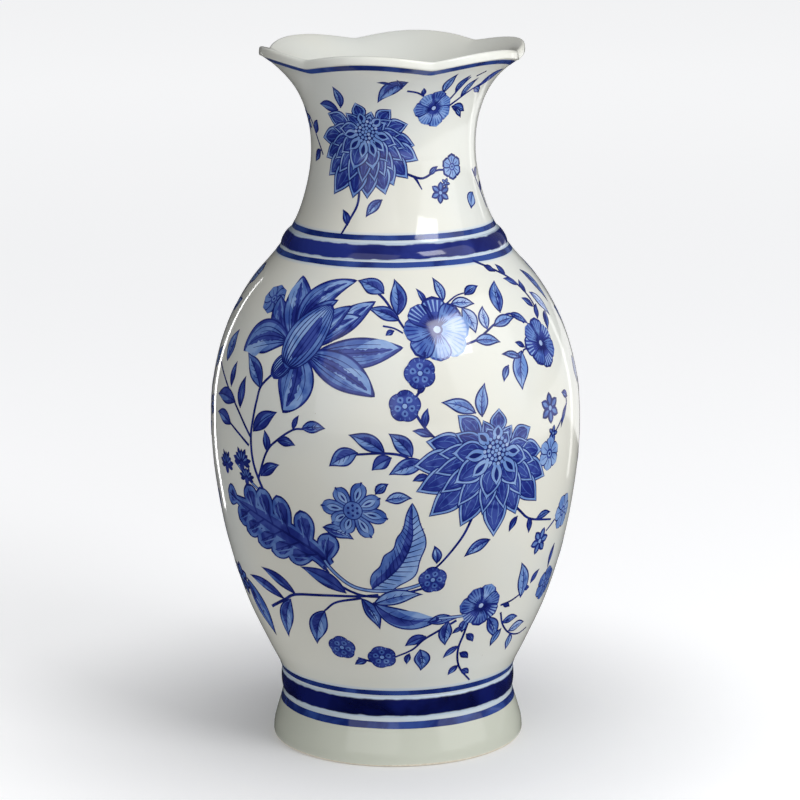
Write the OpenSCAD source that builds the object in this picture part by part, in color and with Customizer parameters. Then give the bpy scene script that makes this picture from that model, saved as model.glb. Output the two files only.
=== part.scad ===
/* [Overall] */
// Height from the standing rim to the highest point of the lip
height = 330; // [300:1:360]
// Outer diameter at the widest part of the belly
belly_d = 174; // [160:1:184]
// Outer diameter at the narrowest part of the neck
neck_d = 76.4; // [70:0.2:84]
// Outer diameter where the foot meets the table
foot_d = 119.4; // [112:0.2:124]
// Thickness of the wall of the foot, body and neck
wall = 4.6; // [4:0.1:5.2]

/* [Foot] */
// Depth of the hollow under the base
foot_recess = 14; // [8:1:16]
// Thickness of the base disc
base_thickness = 5; // [4:0.5:6]
// Width of the ledge that the base disc rests on
ledge_w = 2.2; // [1.5:0.1:2.5]
// Radius at the lower outer edge of the foot
foot_round = 1.5; // [1:0.1:2]

/* [Raised bands] */
// Height of the raised band above the foot
foot_band_h = 10; // [8:0.5:11]
// Height of the raised band between shoulder and neck
shoulder_band_h = 7.4; // [6:0.2:9]
// How far a raised band stands out from the wall
band_relief = 1.2; // [0.6:0.1:1.6]
// Depth of the shallow groove that seats a raised band
band_seat = 0.8; // [0.5:0.1:1.2]

/* [Body joint] */
// Height of the tongue where the upper body sits in the lower body
rebate_h = 3; // [2:0.5:5]

/* [Mouth] */
// Number of lobes around the lip
lobes = 6; // [4:1:8]
// Direction of one crease between two lobes, measured from +X
crease_angle = -12; // [-30:1:30]
// Outer radius of the lip at a crease
crease_r = 59.6; // [56:0.1:61]
// How much further out the lip stands in the middle of a lobe
lobe_out = 3; // [1.5:0.1:6]
// How much higher the lip stands in the middle of a lobe
lobe_rise = 3.2; // [2:0.1:5]
// Thickness of the lip
lip_thickness = 4.3; // [3.5:0.1:4.6]

/* [Hidden] */
$fn = 180;
glaze = "ivory";
cobalt = "midnightblue";

// Heights of the joints and bands, all worked out from the height of the vase
foot_seam_z = height * 0.0833;
belly_z = height * 0.4545;
shoulder_seam_z = height * 0.7291;
neck_top_z = height * 0.9333;

// Radii worked out from the driving diameters
foot_r = foot_d / 2;
belly_r = belly_d / 2;
neck_r = neck_d / 2;
neck_top_r = neck_r * 1.154;
floor_z = foot_recess + base_thickness;

// Outer wall as [height, radius] pairs, from the standing rim to the top of the neck
profile = [
    [0, foot_r - 0.1],
    [height * 0.012, foot_r],
    [height * 0.036, foot_r * 0.968],
    [height * 0.067, foot_r * 0.92],
    [height * 0.103, foot_r * 0.931],
    [height * 0.139, belly_r * 0.703],
    [height * 0.2, belly_r * 0.809],
    [height * 0.273, belly_r * 0.899],
    [height * 0.364, belly_r * 0.969],
    [belly_z, belly_r],
    [height * 0.533, belly_r * 0.98],
    [height * 0.606, belly_r * 0.899],
    [height * 0.667, belly_r * 0.77],
    [height * 0.715, belly_r * 0.616],
    [height * 0.7515, neck_r * 1.207],
    [height * 0.794, neck_r * 1.076],
    [height * 0.8545, neck_r],
    [height * 0.903, neck_r * 1.052],
    [neck_top_z, neck_top_r],
];
last = len(profile) - 1;
neck_top_slope = 0.55;

// Slope of the straight line between two neighbouring profile points
function chord(i) = (profile[i + 1][1] - profile[i][1]) / (profile[i + 1][0] - profile[i][0]);

// Slope of the smooth curve at a profile point, weighted towards the nearer neighbour
function slope_at(i) =
    i == 0 ? chord(0) :
    i == last ? neck_top_slope :
    let (below = profile[i][0] - profile[i - 1][0], above = profile[i + 1][0] - profile[i][0])
    (chord(i - 1) * above + chord(i) * below) / (above + below);

// Index of the profile span that holds height z
function span(z, i = 0) = i >= last - 1 || z < profile[i + 1][0] ? i : span(z, i + 1);

// Outer radius at height z: a smooth curve through the profile points
function outer_r(z) =
    let (i = span(z), h = profile[i + 1][0] - profile[i][0], t = (z - profile[i][0]) / h)
    (2 * pow(t, 3) - 3 * pow(t, 2) + 1) * profile[i][1]
    + (pow(t, 3) - 2 * pow(t, 2) + t) * h * slope_at(i)
    + (3 * pow(t, 2) - 2 * pow(t, 3)) * profile[i + 1][1]
    + (pow(t, 3) - pow(t, 2)) * h * slope_at(i + 1);

// Slope of the outer wall at height z
function outer_slope(z) = outer_r(z + 0.1) / 0.2 - outer_r(z - 0.1) / 0.2;

// Inner radius at height z, one wall thickness in from the outer wall
function inner_r(z) = outer_r(z) - wall * sqrt(1 + pow(outer_slope(z), 2));

// Points up the outer wall or down the inner wall between two heights, at about one step apart
function rise(low, high, step) = let (n = ceil((high - low) / step)) [for (i = [0:n]) low + (high - low) * i / n];
function outer_points(low, high, step = 4) = [for (z = rise(low, high, step)) [outer_r(z), z]];
function inner_points(low, high, step = 4) = [for (z = rise(low, high, step)) [inner_r(low + high - z), low + high - z]];

// Section of a raised band: a soft bulge that follows the wall and fills its seat
function bulge(z, low, high) = band_relief * sqrt(sin(180 * (z - low) / (high - low)));
function band_section(low, high) = concat(
    [for (z = rise(low, high, 0.6)) [outer_r(z) + bulge(z, low, high), z]],
    [for (z = rise(low, high, 2.5)) [outer_r(low + high - z) - band_seat, low + high - z]]
);
foot_band_low = foot_seam_z - foot_band_h / 2;
foot_band_high = foot_seam_z + foot_band_h / 2;
shoulder_band_low = shoulder_seam_z - shoulder_band_h / 2;
shoulder_band_high = shoulder_seam_z + shoulder_band_h / 2;

// Wall points behind a raised band, set in by the depth of its seat
function seat_points(low, high) = [for (z = rise(low, high, 2.5)) [outer_r(z) - band_seat, z]];

// Ring that a radial section makes round the axis
module ring(section) {
    rotate_extrude() polygon(section);
}

// Flared foot, with a flat standing rim, a hollow underneath and a ledge for the base disc
module foot_ring() {
    rim_in = foot_r - wall - 0.6;
    disc_r = inner_r(floor_z);
    color(glaze)
    ring(concat(
        [[rim_in + 0.6, 0]],
        [for (a = [-90:15:0]) [outer_r(foot_round) - foot_round + foot_round * cos(a),
                               foot_round + foot_round * sin(a)]],
        outer_points(foot_round + 1, foot_band_low, 2),
        seat_points(foot_band_low, foot_seam_z),
        [[inner_r(foot_seam_z), foot_seam_z], [disc_r, floor_z], [disc_r, foot_recess],
         [disc_r - ledge_w, foot_recess], [rim_in, 0.8]]
    ));
}

// Flat disc that closes the bottom of the body, dropped onto the ledge in the foot
module base_disc() {
    color(glaze)
    translate([0, 0, foot_recess])
    cylinder(h = base_thickness, r = inner_r(floor_z));
}

// Raised cobalt band that covers the joint between foot and body
module foot_band() {
    color(cobalt)
    ring(band_section(foot_band_low, foot_band_high));
}

// Lower half of the body, with a groove in its top edge for the upper half
module lower_body() {
    tongue_r = belly_r - wall / 2;
    color(glaze)
    ring(concat(
        seat_points(foot_seam_z, foot_band_high),
        outer_points(foot_band_high, belly_z),
        [[tongue_r, belly_z], [tongue_r, belly_z - rebate_h]],
        inner_points(foot_seam_z, belly_z - rebate_h)
    ));
}

// Upper half of the body, with a tongue that sits in the lower half
module upper_body() {
    tongue_r = belly_r - wall / 2;
    color(glaze)
    ring(concat(
        [[tongue_r, belly_z - rebate_h], [tongue_r, belly_z]],
        outer_points(belly_z, shoulder_band_low),
        seat_points(shoulder_band_low, shoulder_seam_z),
        inner_points(belly_z - rebate_h, shoulder_seam_z)
    ));
}

// Raised cobalt band that covers the joint between body and neck
module shoulder_band() {
    color(cobalt)
    ring(band_section(shoulder_band_low, shoulder_band_high));
}

// Waisted neck
module neck() {
    color(glaze)
    ring(concat(
        seat_points(shoulder_seam_z, shoulder_band_high),
        outer_points(shoulder_band_high, neck_top_z, 3),
        inner_points(shoulder_seam_z, neck_top_z, 3)
    ));
}

// 0 at a crease and 1 in the middle of a lobe, with the crease slightly rounded
crease_soft = 0.08;
function lobe(angle) =
    (sqrt(pow(sin(lobes * (angle - crease_angle) / 2), 2) + pow(crease_soft, 2)) - crease_soft)
    / (sqrt(1 + pow(crease_soft, 2)) - crease_soft);

// Point at fraction t along a curve with two end points and two guide points
function bezier(a, b, c, d, t) =
    a * pow(1 - t, 3) + 3 * b * pow(1 - t, 2) * t + 3 * c * (1 - t) * pow(t, 2) + d * pow(t, 3);

// Radial section of the mouth at one angle: up the outer flare, over the lip and down the inside
flare_steps = 9;
lip_steps = 8;
function squared(x) = sign(x) * pow(abs(x), 0.6);
function mouth_section(angle) =
    let (
        edge_r = crease_r + lobe_out * lobe(angle),
        top_z = height - lobe_rise * (1 - lobe(angle)),
        half = lip_thickness / 2,
        lip_r = edge_r - 1.4,
        neck_in_r = inner_r(neck_top_z),
        flare_h = height - neck_top_z
    )
    concat(
        [for (i = [0:flare_steps]) bezier(
            [neck_top_r, neck_top_z],
            [neck_top_r + neck_top_slope * flare_h * 0.29, neck_top_z + flare_h * 0.29],
            [lip_r - 6.5, top_z - 2 * half - 4.2],
            [lip_r, top_z - 2 * half], i / flare_steps)],
        [for (i = [1:lip_steps - 1]) let (a = -90 + 180 * i / lip_steps)
            [lip_r + 1.4 * squared(cos(a)), top_z - half + half * squared(sin(a))]],
        [for (i = [0:flare_steps]) bezier(
            [lip_r - 0.6, top_z],
            [lip_r - 8.2, top_z - 3.0],
            [neck_in_r + 3.0, neck_top_z + flare_h * 0.36],
            [neck_in_r, neck_top_z], i / flare_steps)]
    );

// Flared mouth with a lobed, softly squared lip
module mouth() {
    columns = 18 * lobes;
    rows = len(mouth_section(0));
    points = [for (c = [0:columns - 1]) let (a = 360 * c / columns + crease_angle)
        for (p = mouth_section(a)) [p[0] * cos(a), p[0] * sin(a), p[1]]];
    faces = [for (c = [0:columns - 1]) for (k = [0:rows - 1])
        let (n = (c + 1) % columns, m = (k + 1) % rows)
        each [[c * rows + k, c * rows + m, n * rows + m], [c * rows + k, n * rows + m, n * rows + k]]];
    color(glaze)
    polyhedron(points, faces);
}

foot_ring();
base_disc();
foot_band();
lower_body();
upper_body();
shoulder_band();
neck();
mouth();
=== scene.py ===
import math
import bpy
import numpy as np
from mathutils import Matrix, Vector, geometry


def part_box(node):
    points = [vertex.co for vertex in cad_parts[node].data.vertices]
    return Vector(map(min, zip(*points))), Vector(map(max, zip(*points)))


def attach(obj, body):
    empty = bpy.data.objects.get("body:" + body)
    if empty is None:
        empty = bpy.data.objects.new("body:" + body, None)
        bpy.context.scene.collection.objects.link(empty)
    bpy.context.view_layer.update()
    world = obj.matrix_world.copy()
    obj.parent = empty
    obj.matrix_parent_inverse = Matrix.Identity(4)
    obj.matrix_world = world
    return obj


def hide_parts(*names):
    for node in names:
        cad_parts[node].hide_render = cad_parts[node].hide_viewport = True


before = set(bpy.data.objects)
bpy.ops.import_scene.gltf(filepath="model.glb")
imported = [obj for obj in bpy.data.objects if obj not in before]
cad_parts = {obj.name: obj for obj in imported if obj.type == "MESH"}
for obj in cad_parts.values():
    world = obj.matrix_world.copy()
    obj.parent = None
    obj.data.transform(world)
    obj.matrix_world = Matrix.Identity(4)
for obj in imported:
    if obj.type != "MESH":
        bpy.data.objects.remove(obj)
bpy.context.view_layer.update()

# Lengths are in millimetres until a mesh is made. Angles are in degrees round the vase, from its front (-Y)
# towards its right side (+X). A place on the wall is (angle, height).
MM = 0.001
COLUMNS = 288
ROW_STEP = 2.0

# Wall and mouth, with the proportions of the CAD model
WALL = 4.6
JOINT_LAP = 3.0
FOOT_ROUND = 1.5
RIM_HEIGHT = 1.2
LOBES = 6
CREASE_ANGLE = 78.0
CREASE_R = 59.6
LOBE_OUT = 3.0
LOBE_RISE = 3.2
CREASE_SOFT = 0.08
LIP = 4.3
LIP_NOSE = 1.4
NECK_SLOPE = 0.55
BAND_RELIEF = 1.2
BAND_ROOT = 0.6

# The glaze lies a little inside the CAD surface. The face of the painting lies between the two, and its
# root lies inside the glaze.
GLAZE_INSET = 0.12
PAINT_INSET = 0.02
PAINT_ROOT = 0.3


# ---------------- the wall as a surface

def span_of(node):
    low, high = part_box(node)
    return low.z / MM, high.z / MM


FOOT_BAND = span_of("foot_band")
SHOULDER_BAND = span_of("shoulder_band")
FLOOR_LOW, FLOOR_HIGH = span_of("base_disc")
FOOT_JOINT = span_of("foot_ring")[1]
BELLY_LAP, SHOULDER_JOINT = span_of("upper_body")
BELLY_JOINT = BELLY_LAP + JOINT_LAP
NECK_TOP, TOP = span_of("mouth")


def outer_rings():
    """Heights and radii of the rings of points outside the turned CAD nodes, clear of bands and joints."""
    rings = {}
    for node in ("foot_ring", "lower_body", "upper_body", "neck"):
        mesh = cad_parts[node].data
        for face in mesh.polygons:
            out = Vector((face.center.x, face.center.y, 0)).normalized()
            if face.normal.dot(out) < 0.3:
                continue
            for index in face.vertices:
                x, y, z = mesh.vertices[index].co / MM
                banded = any(low - 0.1 < z < high + 0.1 for low, high in (FOOT_BAND, SHOULDER_BAND))
                if z > FOOT_ROUND + 0.5 and not banded and abs(z - BELLY_LAP) > 0.1:
                    key = round(z, 1)
                    rings[key] = max(rings.get(key, 0), math.hypot(x, y))
    return np.array(sorted(rings.items())).T


def wall_table():
    """Heights and radii of the outer wall: one smooth curve through the rings, carried on past both ends."""
    known_z, known_r = outer_rings()
    slope = np.gradient(known_r, known_z)
    slope[-1] = NECK_SLOPE
    step, past_end, softness = 0.25, 8.0, 1.5
    z = np.arange(-past_end, NECK_TOP + past_end, step)
    k = np.clip(np.searchsorted(known_z, z) - 1, 0, len(known_z) - 2)
    gap = known_z[k + 1] - known_z[k]
    t = np.clip((z - known_z[k]) / gap, 0, 1)
    r = ((2 * t ** 3 - 3 * t ** 2 + 1) * known_r[k] + (t ** 3 - 2 * t ** 2 + t) * gap * slope[k]
         + (3 * t ** 2 - 2 * t ** 3) * known_r[k + 1] + (t ** 3 - t ** 2) * gap * slope[k + 1])
    r += NECK_SLOPE * np.maximum(z - known_z[-1], 0)
    reach = 20
    kernel = np.exp(-0.5 * (np.arange(-reach, reach + 1) * step / softness) ** 2)
    smooth = np.convolve(r, kernel / kernel.sum(), mode="same")
    smooth[:reach], smooth[-reach:] = r[:reach], r[-reach:]
    return z, smooth


TABLE_Z, TABLE_R = wall_table()
TABLE_SLOPE = np.gradient(TABLE_R, TABLE_Z)


def wall_radius(z):
    return np.interp(z, TABLE_Z, TABLE_R)


def wall_slope(z):
    return np.interp(z, TABLE_Z, TABLE_SLOPE)


def inner_radius(z):
    return wall_radius(z) - WALL * np.sqrt(1 + wall_slope(z) ** 2)


NECK_TOP_R = float(wall_radius(NECK_TOP))
NECK_IN_R = float(inner_radius(NECK_TOP))


def lobe(angle):
    """0 at a crease of the mouth and 1 at the middle of a lobe."""
    wave = np.sin(np.radians(LOBES * (angle - CREASE_ANGLE) / 2))
    flat = math.sqrt(1 + CREASE_SOFT ** 2) - CREASE_SOFT
    return (np.sqrt(wave ** 2 + CREASE_SOFT ** 2) - CREASE_SOFT) / flat


def bezier(a, b, c, d, t):
    return a * (1 - t) ** 3 + 3 * b * (1 - t) ** 2 * t + 3 * c * (1 - t) * t ** 2 + d * t ** 3


def lip_place(angle):
    """Radius where the nose of the lip starts, and height of the top of the lip."""
    return CREASE_R + LOBE_OUT * lobe(angle) - LIP_NOSE, TOP - LOBE_RISE * (1 - lobe(angle))


def flare(angle, t):
    """Radius and height on the outside of the mouth, from the neck (t = 0) to the lip (t = 1)."""
    rise = TOP - NECK_TOP
    lip_r, top = lip_place(angle)
    r = bezier(NECK_TOP_R, NECK_TOP_R + NECK_SLOPE * rise * 0.29, lip_r - 6.5, lip_r, t)
    z = bezier(NECK_TOP, NECK_TOP + rise * 0.29, top - LIP - 4.2, top - LIP, t)
    return r, z


def nose(angle, t):
    """Radius and height over the lip, from its outer lower edge (t = 0) to its inner upper edge (t = 1)."""
    turn = math.pi * (t - 0.5)
    lip_r, top = lip_place(angle)
    r = lip_r - 0.6 * t + LIP_NOSE * np.abs(np.cos(turn)) ** 0.6
    z = top - LIP / 2 + LIP / 2 * np.sign(turn) * np.abs(np.sin(turn)) ** 0.6
    return r, z


def throat(angle, t):
    """Radius and height down the inside of the mouth, from the lip (t = 0) to the neck (t = 1)."""
    rise = TOP - NECK_TOP
    lip_r, top = lip_place(angle)
    r = bezier(lip_r - 0.6, lip_r - 8.2, NECK_IN_R + NECK_SLOPE * rise * 0.36, NECK_IN_R, t)
    z = bezier(top, top - 3.0, NECK_TOP + rise * 0.36, NECK_TOP, t)
    return r, z


def around(angle, r, z):
    """Points from angles, radii and heights."""
    turn, r, z = np.broadcast_arrays(np.radians(angle), r, z)
    return np.stack([r * np.sin(turn), -r * np.cos(turn), z], -1)


def surface(profile, angle, t):
    """Points and outward normals of a surface. Its profile gives radius and height for an angle and t."""
    step, turn = 0.004, 0.2
    before, after = np.clip(t - step, 0, 1), np.clip(t + step, 0, 1)
    left, right = angle - turn, angle + turn
    across = around(right, *profile(right, t)) - around(left, *profile(left, t))
    along = around(angle, *profile(angle, after)) - around(angle, *profile(angle, before))
    normal = np.cross(across, along)
    normal /= np.linalg.norm(normal, axis=-1, keepdims=True)
    return around(angle, *profile(angle, t)), normal


# Above the neck, a height is measured up the middle of a lobe and stands for a place on the flare
FLARE_T = np.linspace(0, 1, 201)
FLARE_HEIGHT = flare(CREASE_ANGLE + 180 / LOBES, FLARE_T)[1]


def outside(angle, height):
    """Points and outward normals on the CAD model's outer wall, for arrays of angles and heights."""
    angle, height = np.broadcast_arrays(np.asarray(angle, float), np.asarray(height, float))
    slope = wall_slope(height)
    points = around(angle, wall_radius(height), height)
    normals = around(angle, 1 / np.sqrt(1 + slope ** 2), -slope / np.sqrt(1 + slope ** 2))
    high = height > NECK_TOP
    if high.any():
        t = np.interp(height[high], FLARE_HEIGHT, FLARE_T)
        points[high], normals[high] = surface(flare, angle[high], t)
    return points, normals


# ---------------- turned pieces

ANGLES = np.arange(COLUMNS) * 360 / COLUMNS


def make_object(name, points, faces, normals, material):
    """A mesh object from points in mm, faces, and a normal for every face corner."""
    mesh = bpy.data.meshes.new(name)
    mesh.from_pydata((points * MM).tolist(), [], faces)
    mesh.materials.append(material)
    mesh.polygons.foreach_set("use_smooth", [True] * len(mesh.polygons))
    mesh.normals_split_custom_set(normals.tolist())
    obj = bpy.data.objects.new(name, mesh)
    bpy.context.scene.collection.objects.link(obj)
    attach(obj, "root")
    return obj


def ring_solid(name, runs, material, capped=False):
    """A closed ring from runs of rows. A run is (points, normals), each shaped (rows, COLUMNS, 3),
    and ends on the row where the next one starts. A capped solid is closed by flat faces inside its
    first and last rows."""
    points = np.concatenate([run[0][:-1] for run in runs] + ([runs[-1][0][-1:]] if capped else []))
    total = len(points)
    column = np.arange(COLUMNS)
    after = (column + 1) % COLUMNS
    faces, corners = [], []
    low = 0
    for run_points, run_normals in runs:
        for k in range(len(run_points) - 1):
            high = (low + 1) % total
            here, there = low * COLUMNS, high * COLUMNS
            quads = np.stack([here + column, here + after, there + after, there + column], -1)
            faces.extend(quads.tolist())
            a, b = run_normals[k], run_normals[k + 1]
            corners.append(np.stack([a, a[after], b[after], b], 1).reshape(-1, 3))
            low = high
    if capped:
        for cap, up in ((column[::-1], -1.0), (low * COLUMNS + column, 1.0)):
            faces.append(cap.tolist())
            corners.append(np.tile([0.0, 0.0, up], (COLUMNS, 1)))
    return make_object(name, points.reshape(-1, 3), faces, np.concatenate(corners), material)


def flat_run(first, last):
    """The flat or conical strip between two rows."""
    normal = np.cross(np.roll(first, -1, 0) - first, last - first)
    normal /= np.maximum(np.linalg.norm(normal, axis=-1, keepdims=True), 1e-9)
    return np.stack([first, last]), np.stack([normal, normal])


def turned_run(r, z):
    """A run with the same radii and heights all round."""
    r, z = np.asarray(r, float), np.asarray(z, float)
    dr, dz = np.gradient(r), np.gradient(z)
    length = np.hypot(dr, dz)
    points = around(ANGLES[None, :], r[:, None], z[:, None])
    normals = around(ANGLES[None, :], (dz / length)[:, None], (-dr / length)[:, None])
    return points, normals


def close_section(runs):
    """Joins runs end to end with flat strips, and the last one with the first."""
    closed = []
    for k, run in enumerate(runs):
        closed.append(run)
        following = runs[(k + 1) % len(runs)][0][0]
        if np.abs(run[0][-1] - following).max() > 1e-6:
            closed.append(flat_run(run[0][-1], following))
    return closed


def steps(low, high):
    return np.linspace(low, high, max(2, int(round(abs(high - low) / ROW_STEP)) + 1))


def glaze_run(heights):
    """The glazed outside of the wall at the given heights."""
    points, normals = outside(ANGLES[None, :], np.asarray(heights, float)[:, None])
    return points - normals * GLAZE_INSET, normals


def inner_run(heights):
    """The inside of the wall at the given heights, from the top down."""
    return turned_run(inner_radius(heights), heights)


def edge_round(z):
    """How far the rounded edges of the standing rim draw back at a height."""
    below = np.clip(FOOT_ROUND - z, 0, FOOT_ROUND)
    return FOOT_ROUND - np.sqrt(FOOT_ROUND ** 2 - below ** 2)


def wall_piece(name, low, high, material):
    heights = steps(low, high)
    return ring_solid(name, close_section([glaze_run(heights), inner_run(heights[::-1])]), material)


def foot_pieces(glaze, bare):
    """The foot ring, whose standing rim is wiped free of glaze along a slightly uneven line."""
    edge = RIM_HEIGHT + 0.18 * np.sin(np.radians(ANGLES * 3)) + 0.12 * np.sin(np.radians(ANGLES * 7 + 40))

    def face(heights, radius, side):
        r = radius(heights) + side * edge_round(heights)
        points = around(ANGLES[None, :], r, heights)
        draw_back = side * edge_round(heights + 0.05) - side * edge_round(heights - 0.05)
        slope = wall_slope(heights) + draw_back / 0.1
        length = -side * np.sqrt(1 + slope ** 2)
        return points, around(ANGLES[None, :], 1 / length, -slope / length)

    def glazed_radius(z):
        return wall_radius(z) - GLAZE_INSET

    low = np.stack([edge * k / 5 for k in range(6)])
    high = np.stack([edge + (FOOT_ROUND + 1 - edge) * k / 4 for k in range(5)])
    above = steps(FOOT_ROUND + 1, FOOT_JOINT)[1:, None]
    tall = np.concatenate([high, np.broadcast_to(above, (len(above), COLUMNS))])
    rim = [face(low, glazed_radius, -1), face(low[::-1], inner_radius, 1)]
    foot = [face(tall, glazed_radius, -1), face(tall[::-1], inner_radius, 1)]
    ring_solid("standing_rim", close_section(rim), bare)
    return ring_solid("foot_ring_wall", close_section(foot), glaze)


def band_piece(name, span, material):
    """A raised band: a half-round swell on the wall."""
    t = (1 - np.cos(np.linspace(0, math.pi, 21))) / 2
    heights = span[0] + (span[1] - span[0]) * t
    points, normals = outside(ANGLES[None, :], heights[:, None])
    wave = np.sin(math.pi * t)
    swell = BAND_RELIEF * np.sqrt(wave) - GLAZE_INSET - BAND_ROOT * 0.3 * (1 - wave)
    points = points + normals * swell[:, None, None]
    r, z = np.hypot(points[:, 0, 0], points[:, 0, 1]), points[:, 0, 2]
    root = glaze_run(heights[::-1])
    root = (root[0] - root[1] * BAND_ROOT, -root[1])
    return ring_solid(name, close_section([turned_run(r, z), root]), material)


def mouth_piece(name, material):
    """The flared mouth with its lobed, creased lip."""
    runs = []
    t = (1 - np.cos(np.linspace(0, math.pi, 17))) / 2
    for profile in (flare, nose, throat):
        points, normals = surface(profile, ANGLES[None, :], t[:, None])
        inset = GLAZE_INSET * (1 - t if profile is throat else np.ones(len(t)))
        runs.append([points - normals * inset[:, None, None], normals])
    for before, after in zip(runs, runs[1:]):
        meeting = (before[0][-1] + after[0][0]) / 2
        before[0][-1] = after[0][0] = meeting
    return ring_solid(name, close_section(runs), material)


def disc_piece(name, material):
    """The bottom of the vase, seated in the foot ring and slightly dished by the potter."""
    radius = float(inner_radius((FLOOR_LOW + FLOOR_HIGH) / 2)) + 0.4
    ring = np.linspace(4.0, radius, 12)
    dish = 0.6 * (1 - (ring / radius) ** 2)
    bottom = turned_run(ring, FLOOR_LOW + 0.1 + dish * 0.5)
    top = turned_run(ring[::-1], FLOOR_HIGH - 0.1 - dish[::-1])
    edge = flat_run(bottom[0][-1], top[0][0])
    return ring_solid(name, [bottom, edge, top], material, capped=True)


# ---------------- materials

def linear(*screen):
    """A colour given as on a screen, 0 to 255, as the shader wants it."""
    shares = [c / 255 for c in screen]
    return tuple(s / 12.92 if s < 0.043 else ((s + 0.055) / 1.055) ** 2.4 for s in shares) + (1,)


class Shader:
    """A material whose nodes are added one line at a time."""

    def __init__(self, name, roughness):
        self.material = bpy.data.materials.new(name)
        self.material.use_nodes = True
        self.tree = self.material.node_tree
        self.principled = self.tree.nodes["Principled BSDF"]
        self.principled.inputs["Roughness"].default_value = roughness
        self.principled.inputs["IOR"].default_value = 1.5
        self.place = self.add("ShaderNodeTexCoord").outputs["Object"]

    def add(self, kind, inputs=None, **settings):
        node = self.tree.nodes.new(kind)
        for key, value in settings.items():
            setattr(node, key, value)
        for key, value in (inputs or {}).items():
            self.set(node.inputs[key], value)
        return node

    def set(self, socket, value):
        if isinstance(value, bpy.types.NodeSocket):
            self.tree.links.new(value, socket)
        else:
            socket.default_value = value

    def noise(self, scale, detail=2.0, distortion=0.0):
        inputs = {"Vector": self.place, "Scale": scale, "Detail": detail, "Distortion": distortion}
        return self.add("ShaderNodeTexNoise", inputs).outputs["Fac"]

    def spread(self, value, low, high, out_low=0.0, out_high=1.0):
        """Maps a value smoothly from one range to another."""
        ends = {"Value": value, "From Min": low, "From Max": high, "To Min": out_low, "To Max": out_high}
        return self.add("ShaderNodeMapRange", ends, interpolation_type="SMOOTHSTEP").outputs["Result"]

    def math(self, operation, a, b=0.0):
        return self.add("ShaderNodeMath", {0: a, 1: b}, operation=operation).outputs[0]

    def mix(self, factor, a, b):
        return self.add("ShaderNodeMix", {0: factor, 6: a, 7: b}, data_type="RGBA").outputs[2]

    def height(self):
        return self.add("ShaderNodeSeparateXYZ", {0: self.place}).outputs["Z"]

    def near(self, centre, half, soft, waver=0.0):
        """1 within half mm of a height, falling to 0 over the next soft mm, along an edge that wavers."""
        away = self.math("ABSOLUTE", self.math("SUBTRACT", self.height(), centre * MM))
        away = self.math("ADD", away, self.spread(self.noise(130.0), 0.3, 0.7, -waver * MM, waver * MM))
        return self.spread(away, half * MM, (half + soft) * MM, 1.0, 0.0)

    def finish(self, colour, rough_low, rough_high, wave, wave_scale=70.0):
        """Colour, uneven roughness, and the slight waviness of a glazed or fired surface."""
        roughness = self.spread(self.noise(55.0), 0.3, 0.7, rough_low, rough_high)
        bump = self.add("ShaderNodeBump", {"Height": self.noise(wave_scale, 1.0), "Distance": wave * MM,
                                           "Strength": 1.0})
        values = {"Base Color": colour, "Roughness": roughness, "Normal": bump.outputs["Normal"]}
        for name, value in values.items():
            self.set(self.principled.inputs[name], value)
        return self.material


IVORY_WARM = linear(233, 232, 221)
IVORY_COOL = linear(228, 230, 224)
# Pale blue: cobalt bled into the ivory glaze, and on the band edges partly a painted highlight
PALE_BLUE_BLEED_AND_HIGHLIGHT = linear(196, 212, 228)
# Grey mixed into the glaze towards the foot: a painted shade
FOOT_SHADE_GREY = linear(205, 208, 194)
SPECK = linear(150, 128, 96)


def ivory_glaze(name, bleeds=()):
    """Ivory glaze with a faint drift of colour and rare iron specks. Blue bled into it by the
    stripes: a bleed is (height, half its width). It is greyer towards the foot, a painted
    shade."""
    shader = Shader(name, 0.07)
    colour = shader.mix(shader.spread(shader.noise(11.0), 0.35, 0.65), IVORY_WARM, IVORY_COOL)
    specks = shader.add("ShaderNodeTexVoronoi", {"Vector": shader.place, "Scale": 45.0})
    colour = shader.mix(shader.spread(specks.outputs["Distance"], 0.009, 0.016, 0.5, 0.0), colour, SPECK)
    # Painted shade: the glaze greys fully below 12 mm and not at all above 48 mm
    foot_shade = shader.spread(shader.height(), 12 * MM, 48 * MM, 1.0, 0.0)
    colour = shader.mix(foot_shade, colour, FOOT_SHADE_GREY)
    for centre, half in bleeds:
        strength = shader.spread(shader.noise(60.0), 0.2, 0.7, 0.56, 0.8)
        amount = shader.math("MULTIPLY", shader.near(centre, half, 1.6), strength)
        colour = shader.mix(amount, colour, PALE_BLUE_BLEED_AND_HIGHLIGHT)
    return shader.finish(colour, 0.05, 0.11, 0.035)


def cobalt_tone(name, dark, light, scale=120.0):
    """Cobalt painted under the glaze. The wash is uneven, from a dark to a lighter blue."""
    shader = Shader(name, 0.08)
    wash = shader.spread(shader.noise(scale, 3.0, 0.6), 0.36, 0.64)
    return shader.finish(shader.mix(wash, linear(*dark), linear(*light)), 0.05, 0.11, 0.03)


def cobalt_band(name, span, dark, light):
    """A solid cobalt band, pale along its raised edges, partly where the wash ran thin and partly a painted
    highlight.
    """
    shader = Shader(name, 0.07)
    wash = shader.spread(shader.noise(38.0, 4.0, 0.4), 0.38, 0.66)
    colour = shader.mix(wash, linear(*dark), linear(*light))
    centre, half = sum(span) / 2, (span[1] - span[0]) / 2
    # The pale edges are partly a painted highlight along the raised edges of the band
    middle_without_edge_highlight = shader.near(centre, half * 0.74, half * 0.16, 0.25)
    return shader.finish(shader.mix(middle_without_edge_highlight, PALE_BLUE_BLEED_AND_HIGHLIGHT, colour), 0.05, 0.1, 0.05, 90.0)


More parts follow.
